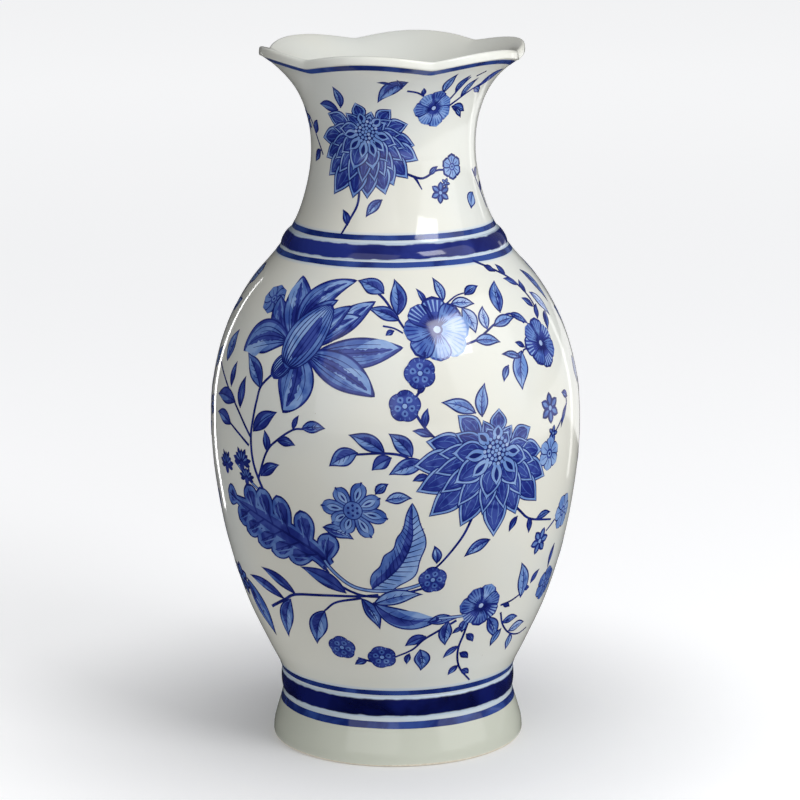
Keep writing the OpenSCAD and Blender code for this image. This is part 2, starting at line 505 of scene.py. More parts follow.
def bare_porcelain(name):
    """Unglazed fired clay, matt and slightly stained where it has stood."""
    shader = Shader(name, 0.8)
    grain = shader.spread(shader.noise(900.0, 4.0), 0.3, 0.7)
    colour = shader.mix(grain, linear(214, 205, 186), linear(231, 225, 210))
    stain = shader.spread(shader.noise(40.0, 3.0), 0.55, 0.75, 0.0, 0.45)
    return shader.finish(shader.mix(stain, colour, linear(176, 158, 130)), 0.7, 0.9, 0.05, 1200.0)


TONES = {
    "pale": ((150, 174, 219), (178, 196, 228)),
    "light": ((108, 143, 205), (146, 175, 221)),
    "mid": ((62, 92, 170), (104, 136, 198)),
    "deep": ((32, 45, 128), (62, 80, 160)),
    "ink": ((16, 26, 98), (34, 48, 128)),
}
TONE_ORDER = ["bare"] + list(TONES)  # bare is where nothing is painted


# ---------------- painting: outlines on the wall

# Arc length up the wall, so that a motif drawn in mm keeps its shape on any part of the vase
ARC_HEIGHT = np.arange(10.0, FLARE_HEIGHT[-1], 0.5)
ARC_POINTS = outside(CREASE_ANGLE + 180 / LOBES, ARC_HEIGHT)[0]
ARC_LENGTH = np.concatenate([[0], np.cumsum(np.linalg.norm(np.diff(ARC_POINTS, axis=0), axis=1))])
ARC_RADIUS = np.hypot(ARC_POINTS[:, 0], ARC_POINTS[:, 1])

strokes = []  # (tone, angles, heights), from the first painted to the last


def on_wall(anchor, points):
    """Angles and heights of points drawn round an anchor on the wall. A point is mm right + mm up * 1j."""
    points = np.asarray(points)
    start = np.interp(anchor[1], ARC_HEIGHT, ARC_LENGTH)
    height = np.interp(start + points.imag, ARC_LENGTH, ARC_HEIGHT)
    angle = anchor[0] + np.degrees(points.real / np.interp(height, ARC_HEIGHT, ARC_RADIUS))
    return angle, height


def from_anchor(anchor, place):
    """The point, drawn round the anchor, that lies at a place on the wall."""
    up = np.interp(place[1], ARC_HEIGHT, ARC_LENGTH) - np.interp(anchor[1], ARC_HEIGHT, ARC_LENGTH)
    right = math.radians(place[0] - anchor[0]) * np.interp(place[1], ARC_HEIGHT, ARC_RADIUS)
    return complex(right, up)


def paint(tone, anchor, outline):
    if outline is not None:
        angle, height = on_wall(anchor, outline)
        strokes.append((TONE_ORDER.index(tone), angle, height))


def toward(direction):
    """The unit step in a direction in degrees, clockwise from straight up."""
    return np.exp(1j * np.radians(90 - np.asarray(direction, float)))


def curve(points, step=1.3):
    """A smooth line through points, with about one point for every step mm."""
    points = np.asarray(points, complex)
    known = np.concatenate([[2 * points[0] - points[1]], points, [2 * points[-1] - points[-2]]])
    pieces = []
    for a, b, c, d in zip(known, known[1:], known[2:], known[3:]):
        count = max(2, int(abs(c - b) / step))
        t = np.arange(count) / count
        pieces.append(0.5 * (2 * b + (c - a) * t + (2 * a - 5 * b + 4 * c - d) * t ** 2
                             + (3 * b - a - 3 * c + d) * t ** 3))
    return np.concatenate(pieces + [points[-1:]])


def strip(line, left, right):
    """The outline of a shape with the given widths, in mm, on both sides of a line. It ends where it has no
    width, and it is None if it has none anywhere."""
    no_width, least_side = 0.08, 0.03
    heading = np.gradient(line)
    heading /= np.abs(heading)
    wide = np.flatnonzero(left + right > no_width)
    if len(wide) < 2:
        return None
    first, last = max(wide[0] - 1, 0), min(wide[-1] + 1, len(line) - 1)
    keep = slice(wide[0], wide[-1] + 1)
    parts = [(line + 1j * heading * np.maximum(left, least_side))[keep],
             (line - 1j * heading * np.maximum(right, least_side))[keep][::-1]]
    if last > wide[-1]:
        parts.insert(1, line[last:last + 1])
    if first < wide[0]:
        parts.insert(0, line[first:first + 1])
    return np.concatenate(parts)


def brush(tone, anchor, line, width, end_width):
    """A brush stroke along a line, from one width to another."""
    half = np.linspace(width, end_width, len(line)) / 2
    paint(tone, anchor, strip(line, half, half))


def disc(tone, anchor, centre, radius, lobes=0, depth=0.0, turn=0.0):
    """A round dab, with a scalloped edge if it has lobes."""
    count = max(10, int(radius * 7), lobes * 7)
    angle = np.arange(count) * 2 * math.pi / count
    r = radius * (1 - depth + depth * np.abs(np.sin(lobes * angle / 2 + turn)) ** 0.7) if lobes else radius
    paint(tone, anchor, centre + r * np.exp(1j * angle))


def blade_line(base, tip, bend, start=0.0, end=1.0):
    """The stretch of a bent line between two shares of its length: the shares and places of its points."""
    length = abs(tip - base)
    count = max(7, int(length * (end - start) / 1.1))
    t = np.linspace(start, end, count)
    line = base + (tip - base) / length * (length * t + 4j * bend * t * (1 - t))
    return t, line


def blade(tone, anchor, base, tip, width, bend, fullness, roundness, inset=0.0, sides=(1, 1), point=0.0):
    """A leaf or petal from base to tip. Fullness over 1 puts its widest part nearer the tip, a low roundness
    number blunts its ends, and point draws the tip out. Sides scale its left and right halves."""
    t, line = blade_line(base, tip, bend)
    half = width / 2 * np.abs(np.sin(math.pi * t ** fullness)) ** roundness * (1 - point * t ** 4)
    to_tip = (1 - t) * abs(tip - base)
    half = np.where(to_tip < inset * 1.8, 0, np.maximum(half - inset, 0))
    paint(tone, anchor, strip(line, half * sides[0], half * sides[1]))


# ---------------- painting: motifs

OUTLINE = 0.8
STEM = 1.25


def layers(tones, anchor, base, tip, width, bend, fullness, roundness, **shape):
    """A leaf or petal laid down in tones, each a (tone, inset) pair that leaves a rim of the one before."""
    for tone, inset in tones:
        blade(tone, anchor, base, tip, width, bend, fullness, roundness, inset, **shape)


def dash(tone, anchor, start, end, width, end_width, count=4):
    """A short straight stroke through count points."""
    brush(tone, anchor, np.linspace(start, end, count), width, end_width)


def spokes(count, turn=0.0):
    """Unit steps in evenly spread directions, clockwise from a turn in degrees."""
    return [toward(360 / count * k + turn) for k in range(count)]


def leaf(base, tip, look, width, bend=None):
    """A leaf between two places on the wall, outlined, washed and veined."""
    to = from_anchor(base, tip)
    length = abs(to)
    bend = length * 0.07 * (1 if to.real > 0 else -1) if bend is None else bend
    shape = {"fullness": 0.9, "roundness": 0.95, "point": 0.45}
    wash, shade = {"dark": ("deep", None), "mid": ("mid", "deep"), "light": ("light", "mid"),
                   "pale": ("pale", "light")}[look]
    layers([("ink", 0), (wash, OUTLINE)], base, 0, to, width, bend, **shape)
    line = blade_line(0, to, bend, 0.0, 0.86)[1]
    if look == "dark":
        blade("mid", base, to * 0.25, to * 0.92, width * 0.62, bend * 0.5, 1.0, 1.0, OUTLINE * 0.5, (1, 0.1))
        brush("ink", base, line, 0.7, 0.3)
        return
    blade(shade, base, to * 0.02, to * 0.85, width * 0.86, bend, inset=OUTLINE, sides=(0.1, 1), **shape)
    if look == "mid":
        blade("light", base, to * 0.3, to * 0.9, width * 0.7, bend * 0.5, 1.0, 1.0, OUTLINE, (1, 0))
    brush("deep" if look == "pale" else "ink", base, line, 0.75, 0.3)
    if length > 11:
        for place in (0.3, 0.48, 0.64):
            root = line[int(place * len(line))]
            for side in (1, -1):
                reach = root + to / length * np.exp(0.7j * side) * width * 0.32
                dash("ink" if look == "mid" else "deep", base, root, reach, 0.45, 0.15)


def leaves(items):
    for item in items:
        leaf(*item)


def stem(places, width, end_width=None, core=None):
    """A stem through places on the wall. A thick one has a paler core."""
    anchor = places[0]
    line = curve([from_anchor(anchor, place) for place in places])
    end_width = end_width or width * 0.75
    brush("ink", anchor, line, width, end_width)
    if core:
        brush(core, anchor, line[1:-1], width * 0.5, end_width * 0.5)


def twig(places, items, width=STEM):
    """A stem with leaves on it."""
    stem(places, width)
    leaves(items)


def rayed_petal(anchor, tip, width, start):
    """A pointed dahlia petal: dark outline, light rim, and a dark heart with pale streaks."""
    base = tip / abs(tip) * start
    span = tip - base
    rim = 0.4 + width * 0.06
    layers([("ink", 0), ("light", 0.6), ("ink", rim + 0.4), ("deep", rim + 0.9)], anchor, base, tip, width, 0,
           1.05, 0.85, point=0.5)
    for side in (-0.24, -0.1, 0.1, 0.24):
        line = blade_line(base + 0.3 * span, base + (0.86 - abs(side)) * span, width * side * 0.8)[1]
        brush("mid", anchor, line + 1j * span / abs(span) * width * side * 0.5, 0.5, 0.2)


def heart_petal(anchor, tip, start, width):
    """A light petal with a dark heart, from the middle of a dahlia."""
    base = tip / abs(tip) * start
    layers([("ink", 0), ("light", 0.45)], anchor, base, tip, width, 0, 1.3, 0.75, point=0.4)
    blade("ink", anchor, base + (tip - base) * 0.3, base + (tip - base) * 0.86, width * 0.36, 0, 1.2, 0.8)


def dahlia(centre, tips, cluster):
    """A many-petalled flower seen from above and in front. Tips are the places of its outer petals,
    going round, and cluster is the radius of its dotted middle. Two more rings of petals and one of
    hearts lie on top."""
    outer = [from_anchor(centre, tip) for tip in tips]
    between = [(tip + after) / 2 for tip, after in zip(outer, outer[1:] + outer[:1])]
    for ring, reach, plump in ((outer, 1.0, 1.08), (between, 0.79, 1.0), (between[::2], 0.6, 1.45)):
        for tip in sorted(ring, key=lambda petal: -petal.imag):
            width = (cluster * 0.8 + abs(tip) * 0.16) * (0.3 + 0.7 * reach) * plump
            rayed_petal(centre, tip * reach, width, abs(tip) * max(reach - 0.62, 0.1))
    for tip in outer[::2]:
        heart_petal(centre, tip / abs(tip) * (cluster * 1.05 + abs(tip) * 0.2), cluster * 0.5, cluster * 0.9)
    disc("ink", centre, 0, cluster * 0.92, 11, 0.12)
    spacing = cluster * 0.26
    disc("light", centre, 0, spacing * 0.44)
    for ring in (1, 2, 3):
        for k, way in enumerate(spokes(6 * ring, 17 * ring)):
            tone = "light" if (k * 2 + ring) % 5 else "pale"
            disc(tone, centre, way * spacing * ring * 1.05, spacing * 0.45)


def button(centre, radius, turn=0.0):
    """A small round flower: dark and scalloped, with a ring of paler petals round a light eye."""
    disc("ink", centre, 0, radius, 5, 0.13, turn)
    disc("deep", centre, 0, radius - 0.6, 5, 0.13, turn)
    for k in range(5):
        direction = 72 * k + turn * 36
        way = toward(direction)
        blade("mid", centre, way * radius * 0.22, way * radius * 0.66, radius * 0.42, 0, 1.3, 0.6)
        for side in (-20, 0, 20):
            out = toward(direction + side)
            dash("mid", centre, out * radius * 0.74, out * radius * 0.93, 0.4, 0.25, 3)
        blade("ink", centre, way * radius * 0.36, way * radius * 0.55, radius * 0.14, 0, 1.0, 0.6)
    disc("ink", centre, 0, radius * 0.2)
    disc("light", centre, 0, radius * 0.15)


def ruffled(centre, radius, washes, turn):
    """An open flower with ruffled petals. Fine strokes run in from its rim and out from its eye."""
    part = 360 / len(washes)
    width = radius * 1.9 * math.sin(math.pi / len(washes))
    ink_of = {"deep": "ink", "mid": "ink", "light": "deep", "pale": "light"}
    rim_of = {"deep": "light", "mid": "deep", "light": "mid", "pale": "light"}
    for k, wash in enumerate(washes):
        ink = ink_of[wash]
        tip = toward(part * k + turn) * (1 + 0.05 * math.cos(2.4 * k)) * radius
        layers([(ink, 0), (wash, 0.7)], centre, 0, tip, width, 0, 1.9, 0.5)
        for share in np.linspace(-0.4, 0.4, 5):
            out = toward(part * (k + share) + turn) * radius
            dash(rim_of[wash], centre, out * (0.93 - 0.3 * share ** 2), out * 0.55, 0.9, 0.3)
            dash(ink, centre, out * 0.16, out * (0.42 + abs(share) * part * 0.004), 0.8, 0.25)
        edge = toward(part * (k + 0.5) + turn) * radius
        dash(ink, centre, edge * 0.2, edge * 0.84, 0.6, 1.0, 5)
    disc("ink", centre, 0, radius * 0.17)
    disc("pale", centre, 0, radius * 0.11)


def daisy(centre, petals):
    """Notched petals with a light drop in each, round a dotted disc. Petals are (direction, length)."""
    width = 7.6
    for direction, length in petals:
        tip = toward(direction) * length
        layers([("ink", 0), ("mid", 0.6)], centre, 0, tip, width, 0, 1.8, 0.5)
        layers([("ink", 0), ("light", 0.4)], centre, tip * 0.28, tip * 0.84, width * 0.52, 0, 1.3, 0.6)
        blade("ink", centre, tip * 0.42, tip * 0.7, width * 0.13, 0, 1.0, 0.6)
        dash("ink", centre, tip * 1.02, tip * 0.88, 1.0, 0.3, 3)
    disc("ink", centre, 0, 4.6)
    disc("mid", centre, 0, 4.1)
    for place in [0] + spokes(6):
        disc("ink", centre, place * 2.4, 0.65)


def star(centre, radius, points=6, turn=10.0):
    """A small dark star flower."""
    for way in spokes(points, turn):
        blade("ink", centre, 0, way * radius, radius * 0.62, 0, 1.1, 0.8)
        blade("mid", centre, way * radius * 0.2, way * radius * 0.85, radius * 0.3, 0, 1.1, 0.8, 0.1)
    disc("ink", centre, 0, radius * 0.26)
    disc("light", centre, 0, radius * 0.16)


def blossom(centre, radius, petals=6, turn=0.0, wash="light"):
    """A small open flower with rounded petals and a dotted eye."""
    for way in spokes(petals, turn):
        layers([("ink", 0), (wash, 0.65)], centre, 0, way * radius, radius * 0.85, 0, 1.7, 0.5)
        dash("deep", centre, way * radius * 0.35, way * radius * 0.75, 0.5, 0.25)
    for tone, share in (("deep", 0.3), (wash, 0.18), ("ink", 0.09)):
        disc(tone, centre, 0, radius * share)


def tuft(centre, radius):
    """A cornflower: a fan of narrow dark petals above a small cup."""
    for k in range(9):
        tip = toward(-100 + 25 * k) * radius * (0.85 + 0.15 * (k % 2))
        blade("ink", centre, 0, tip, radius * 0.32, 0, 1.5, 0.7)
    for k in range(5):
        way = toward(-60 + 30 * k) * radius
        blade("mid", centre, way * 0.2, way * 0.7, radius * 0.12, 0, 1.3, 0.7)
    blade("deep", centre, toward(180) * radius * 0.6, toward(0) * radius * 0.1, radius * 0.5, 0, 1.0, 0.6)


def lotus_petal(base, tip, width, bend, wash):
    """A large pointed petal with a jagged dark vein, and fine lines at its root."""
    to = from_anchor(base, tip)
    shape = {"fullness": 1.05, "roundness": 0.62, "point": 0.45}
    layers([("ink", 0), ("deep", 0.8)], base, 0, to, width, bend, **shape)
    blade(wash, base, 0, to * 0.98, width, bend, inset=1.7, sides=(1.1, 0.95), **shape)
    lit = "light" if wash == "mid" else "mid"
    blade(lit, base, to * 0.4, to * 0.95, width * 0.78, bend * 0.5, 1.1, 0.8, 0.5, (1, 0.3))
    for start, end, share in ((0.14, 0.6, 0.17), (0.42, 0.88, 0.13)):
        t, line = blade_line(0, to, bend, start, end)
        jag = 0.5 + 0.5 * np.abs(np.sin(np.arange(len(t)) * 1.9))
        half = width * share * np.sin(math.pi * (t - start + 0.02) / (end - start + 0.04)) * jag + 0.1
        paint("deep", base, strip(line, half, half * 0.8))
    brush("ink", base, blade_line(0, to, bend, 0.05, 0.84)[1], 0.8, 0.35)
    for side in (-0.32, -0.17, 0.17, 0.32):
        brush("ink", base, blade_line(0, to, bend + side * width * 0.8, 0.05, 0.42 + abs(side))[1], 0.6, 0.2)


def striped_bud(base, tip, width):
    """The closed heart of a lotus, with lines that follow its swelling."""
    to = from_anchor(base, tip)
    layers([("ink", 0), ("mid", 0.7)], base, 0, to, width, 0, 0.85, 0.6)
    blade("light", base, to * 0.1, to * 0.9, width * 0.42, width * 0.16, 0.9, 0.7)
    blade("deep", base, to * 0.15, to * 0.8, width * 0.34, -width * 0.1, 0.9, 0.7)
    t = np.linspace(0.03, 0.96, 16)
    half = width / 2 * np.sin(math.pi * t ** 0.85) ** 0.6
    for side in np.linspace(-0.78, 0.76, 8):
        brush("ink", base, to * t + 1j * to / abs(to) * half * side, 0.75, 0.4)


def lotus():
    """The large flower on the shoulder, its petals listed from the back to the front."""
    petals = [((-38, 203), (-50, 220), 13, 2, "deep"), ((-37, 203), (-44, 229), 16, -1, "mid"),
              ((-36, 208), (-16, 229), 14, 5, "mid"), ((-38, 202), (-59, 194), 17, -5, "mid"),
              ((-25, 203), (-7, 221), 12, 1, "mid"), ((-26, 199), (3, 202), 15, -1, "mid"),
              ((-30, 198), (-6, 181), 16, 2, "mid"), ((-33, 198), (-36, 171), 20, 3, "mid"),
              ((-30, 200), (-12, 215), 12, 2, "mid"), ((-31, 201), (-16, 219), 11, 1, "light"),
              ((-34, 206), (-22, 221), 9, 2, "deep")]
    for petal in petals:
        lotus_petal(*petal)
    striped_bud((-42, 186), (-34, 198), 10)
    striped_bud((-37, 191), (-24, 219), 20)


def midrib(places):
    """A line through places, its headings, and how far along it every point is, from 0 to 1."""
    line = curve([from_anchor(places[0], place) for place in places], 0.9)
    heading = np.gradient(line)
    return line, heading / np.abs(heading), np.linspace(0, 1, len(line))


def lobed_leaf(places, length, pairs):
    """An oak-like leaf: pairs of round lobes that lean forward from a line and run together along it."""
    anchor = places[0]
    line, heading, t = midrib(places)
    spine = length * 0.32 * np.sin(math.pi * (0.12 + 0.83 * t)) ** 0.6
    lobes = [(line[-4], line[-1] + heading[-1] * length * 0.45)]
    for k in reversed(range(2 * pairs)):
        root = int(len(line) * (0.04 + 0.84 * k / (2 * pairs)))
        grown = math.sin(math.pi * (0.24 + 0.66 * k / (2 * pairs)))
        lean = np.exp(1j * math.radians(48) * (1 if k % 2 else -1))
        lobes.append((line[root], line[root] + heading[root] * lean * length * (0.35 + 0.65 * grown)))
    for tone, inset in (("ink", 0), ("mid", 0.8), ("deep", 2.3)):
        for root, tip in lobes:
            blade(tone, anchor, root, tip, length * 0.56, 0, 1.45, 0.6, inset)
        half = np.maximum(spine - inset, 0.1)
        paint(tone, anchor, strip(line, half, half))
    for root, tip in lobes:
        span = tip - root
        for start, turn, reach in ((0, 0, 0.84), (0.3, 0.5, 0.36), (0.3, -0.5, 0.36), (0.55, 0.5, 0.24)):
            base = root + span * start
            dash("ink", anchor, base, base + span * np.exp(1j * turn) * reach, 0.9, 0.4, 7)
        dash("mid", anchor, root + span * (0.3 + 0.1j), root + span * (0.78 + 0.06j), 0.8, 0.3, 7)
    brush("ink", anchor, line[:int(len(line) * 0.95)], 1.6, 0.6)


def feather_leaf(places, width):
    """A long leaf with a wavy edge, one light and one dark side, and close slanting veins."""
    anchor = places[0]
    line, heading, t = midrib(places)
    half = width / 2 * np.sin(math.pi * t ** 0.68) ** 0.75 * (1 + 0.09 * np.sin(t * 22))
    inner = np.maximum(half - 0.6, 0)
    for tone, left, right in (("ink", half, half), ("mid", inner, inner * 0.05),
                              ("light", inner * 0.05, inner), ("deep", half * 0.45, half * 0.06)):
        paint(tone, anchor, strip(line, left, right))
    for place in range(3, int(len(line) * 0.86), 3):
        for side in (1, -1):
            reach = line[place] + heading[place] * np.exp(0.85j * side) * half[place] * 1.05
            dash("ink", anchor, line[place], reach, 0.6, 0.25, 5)
    brush("ink", anchor, line[:int(len(line) * 0.95)], 1.0, 0.4)


# ---------------- painting: where everything goes

def paint_neck():
    twig([(-23, 270), (-23, 261), (-27, 254), (-31, 247)], [((-28, 251), (-33, 258), "dark", 4)])
    twig([(0, 277), (10, 274), (20, 272), (30, 275), (37, 275)], [((25, 273), (32, 277), "mid", 3)])
    stem([(14, 273), (16, 271), (19, 267)], 1.4, 0.5)
    dahlia((-18, 293.5),
           [(-1, 304), (10, 297), (15, 287), (17.5, 280), (10, 272), (0.5, 269), (-5, 265), (-17, 263),
            (-27, 263), (-42, 264), (-49, 272), (-53, 280), (-56, 289), (-46, 301), (-23, 307)], 6)
    leaves([((-34, 304), (-34, 315), "mid", 5), ((-36, 303), (-51, 305), "dark", 6),
            ((-7, 263), (-17, 255), "mid", 5)])
    blossom((44, 276), 6.2)
    star((32, 265), 5.2)
    star((37, 269), 2.6, 5, 30)
    leaf((63, 263), (56, 256), "light", 7)
    twig([(8, 313), (14, 312), (20, 309)], [((17, 310), (17, 315), "dark", 2.6)])
    leaves([((8, 318), (-9, 307), "mid", 8, -2), ((0, 316), (-8, 317), "dark", 2),
            ((5, 314), (2, 319), "dark", 2.4)])
    stem([(33, 305), (38, 310), (43, 318)], 1.0)
    stem([(36, 304), (42, 307), (50, 311), (60, 315)], 1.0)
    stem([(47, 318), (52, 320)], 0.9)
    leaves([((30, 311), (33, 321), "light", 5), ((39, 304), (52, 301), "mid", 5),
            ((42, 303), (50, 298), "light", 3), ((38, 311), (42, 319), "mid", 4),
            ((44, 308), (50, 317), "light", 4), ((52, 312), (61, 309), "mid", 4),
            ((56, 312), (72, 321), "dark", 6)])
    ruffled((26, 304), 9.4, ["mid", "light", "light", "light", "light", "mid", "light"], 10)
    stem([(-72, 298), (-65, 289), (-57, 281)], 1.0)
    leaves([((-66, 290), (-60, 297), "dark", 5), ((-60, 283), (-68, 277), "dark", 5)])
    star((-80, 296), 6.0)
    twig([(69, 273), (75, 266), (83, 254)],
         [((72, 269), (80, 273), "dark", 4), ((78, 262), (85, 266), "dark", 4)])


def paint_upper_body():
    twig([(-44, 132), (-48, 145), (-49, 157), (-48, 167), (-47, 175), (-46, 181), (-42, 187)],
         [((-46, 180), (-56, 194), "mid", 9), ((-48, 160), (-38, 171), "dark", 8)], 1.6)
    twig([(-49, 157), (-57, 169), (-67, 179), (-75, 185)],
         [((-69, 187), (-67, 202), "mid", 9), ((-62, 177), (-61, 189), "dark", 5),
          ((-55, 169), (-54, 184), "dark", 6), ((-58, 171), (-72, 171), "dark", 8)])
    twig([(-50, 153), (-55, 157), (-61, 161)], [((-60, 160), (-71, 163), "dark", 7)])
    twig([(-46, 139), (-42, 152), (-38, 158), (-32, 164), (-28, 165)],
         [((-29, 165), (-21, 166), "mid", 6), ((-38, 158), (-31, 157), "dark", 5),
          ((-42, 152), (-43, 162), "dark", 5), ((-32, 164), (-30, 171), "dark", 3),
          ((-45, 140), (-37, 147), "dark", 6)])
    blossom((-53, 218), 7.5, 8, 0, "mid")
    twig([(-13, 229), (-9, 226), (-4, 222), (0, 216), (4, 209)],
         [((-4, 224), (-16, 229), "mid", 9), ((2, 213), (-10, 218), "mid", 7),
          ((1, 215), (0, 230), "mid", 8)])
    lotus()
    stem([(-4, 211), (0, 210), (3, 208)], 0.9)
    leaf((0, 209), (-3, 207), "dark", 3)
    leaves([((12, 219), (9, 226), "dark", 3), ((19, 220), (17, 230), "light", 5),
            ((22, 219), (32, 218), "pale", 6), ((26, 217), (29, 206), "pale", 8)])
    twig([(20, 219), (25, 222), (30, 223)], [((29, 222), (37, 225), "mid", 5)], 0.8)
    twig([(16, 200), (28, 203), (33, 206), (38, 209), (46, 212), (52, 207)],
         [((42, 213), (47, 226), "mid", 8), ((34, 207), (35, 217), "pale", 6),
          ((37, 208), (48, 210), "light", 6), ((28, 203), (38, 201), "light", 6),
          ((46, 212), (54, 206), "mid", 4)])
    # The pale petals on its right are partly the flower's own pale wash and partly a painted highlight
    ruffled((15, 209), 15.5, ["deep", "mid", "pale", "pale", "light", "mid", "mid", "deep"], 0)
    twig([(41, 235), (51, 230), (57, 226), (60, 222), (62, 218), (63, 213), (61, 207)],
         [((46, 232), (51, 229), "dark", 4), ((56, 227), (54, 232), "dark", 4),
          ((60, 222), (53, 226), "dark", 4), ((62, 218), (63, 224), "dark", 4),
          ((62, 212), (57, 217), "dark", 4), ((61, 207), (65, 213), "dark", 4)])
    leaves([((71, 227), (78, 211), "mid", 6), ((65, 218), (72, 206), "pale", 6),
            ((70, 209), (65, 201), "dark", 5), ((81, 185), (82, 172), "mid", 8)])
    ruffled((57, 197), 11.8, ["mid", "deep", "mid", "deep", "mid", "deep", "mid"], 12)
    twig([(50, 196), (47, 196), (45, 192)],
         [((48, 197), (44, 200), "dark", 3), ((46, 196), (43, 179), "light", 10),
          ((45, 193), (37, 196), "light", 4), ((39, 191), (36, 184), "mid", 4)], 0.9)
    for places in ([(10, 200), (9, 192)], [(8, 184), (5, 178)], [(6, 174), (9, 167), (14, 159)]):
        stem(places, 1.3)
    leaves([((9, 167), (10, 176), "dark", 4), ((11, 163), (5, 166), "dark", 4),
            ((7, 182), (10, 186), "dark", 3)])
    button((8, 191), 7.4)
    button((3, 177), 7.4, 1.0)
    leaves([((25, 172), (14, 178), "light", 7), ((27, 170), (29, 185), "light", 7)])


def paint_middle():
    twig([(16, 149), (6, 152), (2, 155), (-4, 156), (-13, 155)],
         [((5, 154), (-2, 165), "mid", 8), ((9, 151), (-2, 146), "mid", 8),
          ((-3, 156), (-14, 164), "mid", 8), ((-1, 154), (-7, 148), "dark", 7),
          ((-11, 156), (-20, 149), "mid", 9)], 1.4)
    twig([(24, 124), (21, 115), (15, 104), (11, 99)], [((13, 103), (12, 112), "mid", 5)])
    twig([(65, 172), (66, 168), (63, 163), (59, 158), (56, 155)],
         [((66, 167), (61, 157), "dark", 3), ((67, 170), (63, 173), "dark", 4)], 0.9)
    twig([(39, 127), (42, 123), (47, 118), (59, 114)],
         [((46, 119), (47, 111), "dark", 4), ((50, 117), (58, 118), "mid", 4)])
    stem([(62, 113), (57, 109)], 1.0)
    leaves([((66, 100), (65, 88), "dark", 4), ((41, 121), (38, 114), "dark", 4),
            ((10, 145), (5, 143), "dark", 4)])
    dahlia((31.5, 154),
           [(33, 173), (45, 162), (50, 150), (52, 137), (49, 126), (40, 122), (32, 113), (20, 120),
            (10, 126), (6, 138), (5, 150), (9, 161), (19, 172)], 7.5)
    leaf((31, 112), (22, 105), "mid", 6)
    star((55, 168), 7.4, 6, 0)
    star((56, 156), 4.0, 5, 20)
    blossom((54, 147), 8.0, 6, 10)
    blossom((68, 115), 9.0, 6, 30)
    star((54, 105), 6.8, 6, 20)
    leaves([((-6, 137), (-2, 142), "mid", 5), ((-3, 134), (5, 135), "light", 6),
            ((-23, 120), (-13, 115), "mid", 7)])
    daisy((-13, 129), [(18, 14), (323, 13), (276, 15), (237, 12), (200, 12), (148, 15), (103, 16), (64, 14)])
    stem([(-58, 144), (-51, 137), (-44, 131)], 1.6, 1.4, "light")
    tuft((-64, 140), 7.5)
    tuft((-54, 144), 7.5)
    tuft((-52, 137), 6.0)


def paint_side():
    """A sprig at the side of the vase, between the front and the back patterns."""
    twig([(97, 48), (90, 80), (98, 112), (90, 145), (98, 178), (91, 204), (95, 220)],
         [((94, 60), (85, 71), "mid", 8), ((90, 77), (100, 87), "dark", 7),
          ((95, 98), (86, 108), "light", 8), ((98, 112), (102, 124), "mid", 7),
          ((94, 128), (85, 137), "mid", 8), ((90, 146), (100, 155), "mid", 8),
          ((94, 163), (86, 173), "dark", 7), ((98, 180), (102, 192), "light", 7),
          ((92, 199), (84, 207), "mid", 8), ((91, 205), (100, 213), "mid", 7)])
    blossom((95, 224), 6.5)
    star((86, 91), 5.5)
    star((101, 164), 5.5)


